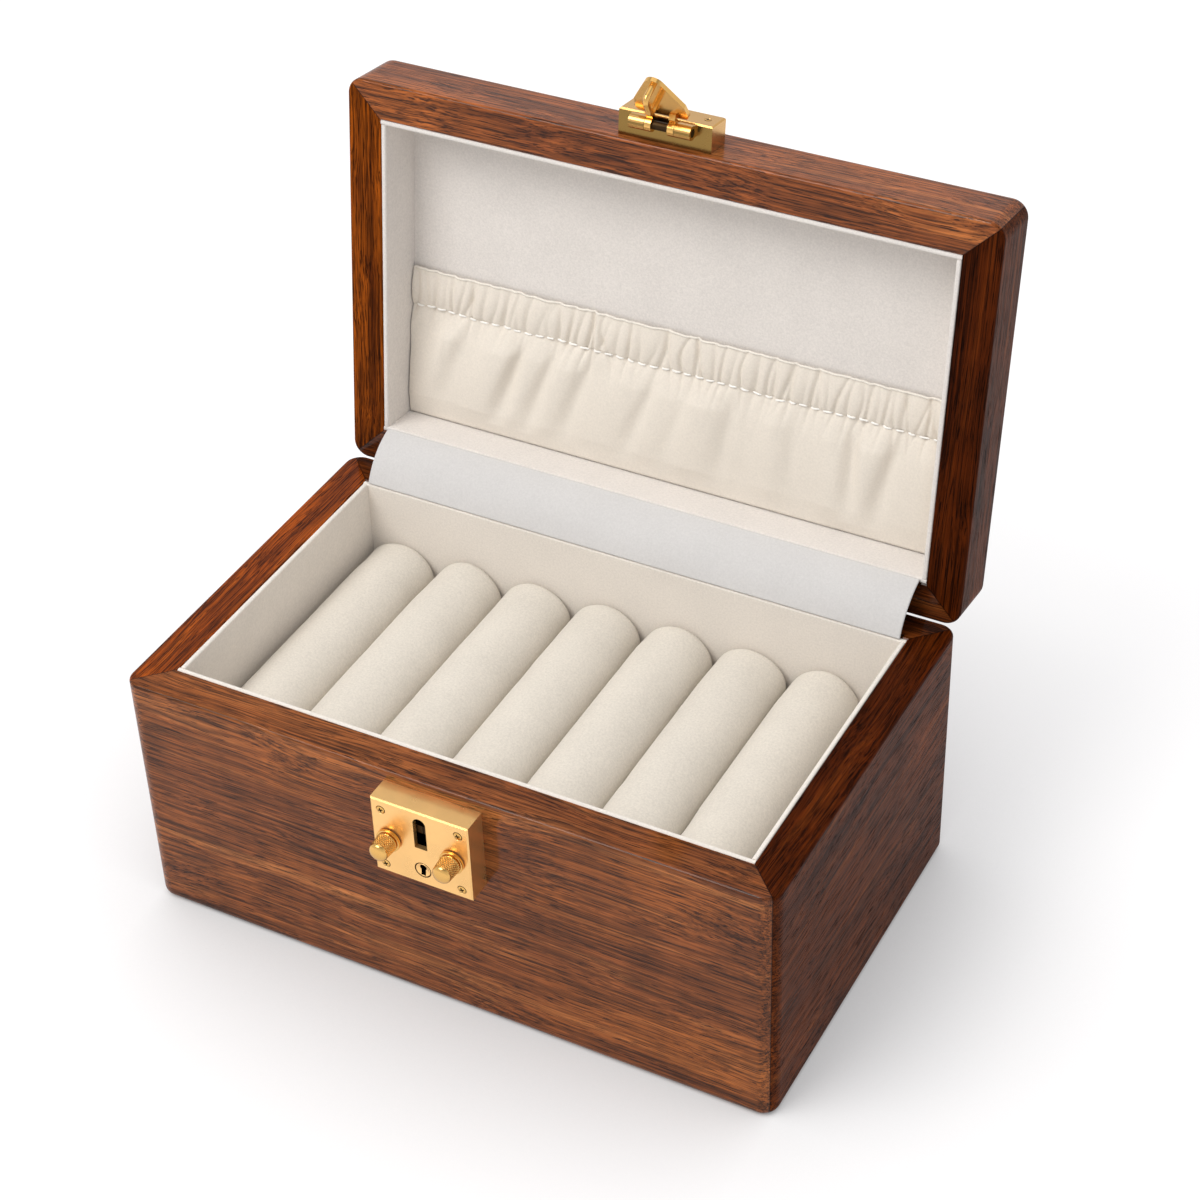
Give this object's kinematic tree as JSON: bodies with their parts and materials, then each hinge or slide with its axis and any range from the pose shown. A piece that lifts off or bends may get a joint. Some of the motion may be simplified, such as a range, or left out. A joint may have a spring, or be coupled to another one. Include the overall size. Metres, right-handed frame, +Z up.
{
  "type": "bangle box",
  "caption": "Lined wooden case whose hinged lid locks with a brass hasp, with removable padded rolls for bangles and a gathered pocket in the lid.",
  "frame": {"origin": "the middle of the underside of the case", "axes": "+X along the front to the viewer's right, +Y from the front to the hinged back, +Z up"},
  "size_m": [0.24, 0.207, 0.2705],
  "materials": {
    "walnut": "satin lacquer",
    "suede": "suede",
    "roll_cloth": "suede",
    "pocket_cloth": "gathered cloth",
    "elastic": "woven",
    "strip_cloth": "suede",
    "felt": "felt",
    "brass": "satin",
    "spring_steel": "drawn"
  },
  "bodies": {
    "base": {"base_front": "walnut", "base_back": "walnut", "base_left": "walnut", "base_right": "walnut", "base_floor": "walnut", "base_felt": "felt", "lining_front": "suede", "lining_back": "suede", "lining_left": "suede", "lining_right": "suede", "lining_floor": "suede", "rail_front": "suede", "rail_back": "suede", "lock_case": "brass", "lock_back_plate": "brass", "lock_screws": "brass", "latch_spring_left": "spring_steel", "latch_spring_right": "spring_steel", "hinge_base_leaves": "brass", "hinge_pins": "brass", "hinge_base_screws": "brass", "hinge_strip": "strip_cloth"},
    "lid": {"lid_front": "walnut", "lid_back": "walnut", "lid_left": "walnut", "lid_right": "walnut", "lid_panel": "walnut", "lid_lining_front": "suede", "lid_lining_back": "suede", "lid_lining_left": "suede", "lid_lining_right": "suede", "lid_lining_panel": "suede", "pocket_body": "pocket_cloth", "pocket_ruffle": "pocket_cloth", "pocket_elastic": "elastic", "hinge_lid_leaves": "brass", "hinge_lid_screws": "brass", "hasp_block": "brass", "hasp_pin": "brass", "hasp_screws": "brass"},
    "hasp": {"hasp_plate": "brass", "hasp_staple": "brass"},
    "latch_left": {"knob_left": "brass", "latch_left": "brass"},
    "latch_right": {"knob_right": "brass", "latch_right": "brass"},
    "key": {"key_plug": "brass"},
    "bolt": {"lock_bolt": "brass"},
    "roll_1": {"roll_1": "roll_cloth"},
    "roll_2": {"roll_2": "roll_cloth"},
    "roll_3": {"roll_3": "roll_cloth"},
    "roll_4": {"roll_4": "roll_cloth"},
    "roll_5": {"roll_5": "roll_cloth"},
    "roll_6": {"roll_6": "roll_cloth"},
    "roll_7": {"roll_7": "roll_cloth"}
  },
  "joints": [
    {"name": "lid_hinge", "type": "hinge", "parent": "base", "child": "lid", "pos_m": [0, 0.07305, 0.0983], "axis": [-1, 0, 0], "range_deg": [-97.5, 0], "deforming": ["hinge_strip"]},
    {"name": "hasp_hinge", "type": "hinge", "parent": "lid", "child": "hasp", "pos_m": [0, 0.09406, 0.25021], "axis": [-1, 0, 0], "range_deg": [-56, 34]},
    {"name": "knob_left_slide", "type": "slide", "parent": "base", "child": "latch_left", "axis": [-1, 0, 0], "range_m": [0, 0.0018], "stiffness_N_per_m": 400, "springref_m": -0.002, "deforming": ["latch_spring_left"]},
    {"name": "knob_right_slide", "type": "slide", "parent": "base", "child": "latch_right", "axis": [1, 0, 0], "range_m": [0, 0.0018], "stiffness_N_per_m": 400, "springref_m": -0.002, "deforming": ["latch_spring_right"]},
    {"name": "key_turn", "type": "hinge", "parent": "base", "child": "key", "pos_m": [0, -0.0795, 0.0693], "axis": [0, 1, 0], "range_deg": [-90, 0]},
    {"name": "bolt_slide", "type": "slide", "parent": "base", "child": "bolt", "axis": [0, 0, -1], "range_m": [-0.002, 0]},
    {"name": "roll_1_lift", "type": "slide", "parent": "base", "child": "roll_1", "axis": [0, 0, 1], "range_m": [0, 0.1]},
    {"name": "roll_2_lift", "type": "slide", "parent": "base", "child": "roll_2", "axis": [0, 0, 1], "range_m": [0, 0.1]},
    {"name": "roll_3_lift", "type": "slide", "parent": "base", "child": "roll_3", "axis": [0, 0, 1], "range_m": [0, 0.1]},
    {"name": "roll_4_lift", "type": "slide", "parent": "base", "child": "roll_4", "axis": [0, 0, 1], "range_m": [0, 0.1]},
    {"name": "roll_5_lift", "type": "slide", "parent": "base", "child": "roll_5", "axis": [0, 0, 1], "range_m": [0, 0.1]},
    {"name": "roll_6_lift", "type": "slide", "parent": "base", "child": "roll_6", "axis": [0, 0, 1], "range_m": [0, 0.1]},
    {"name": "roll_7_lift", "type": "slide", "parent": "base", "child": "roll_7", "axis": [0, 0, 1], "range_m": [0, 0.1]}
  ],
  "couplings": [
    {"joint": "key_turn", "follows": "bolt_slide", "rad_per_m": 785.39}
  ]
}
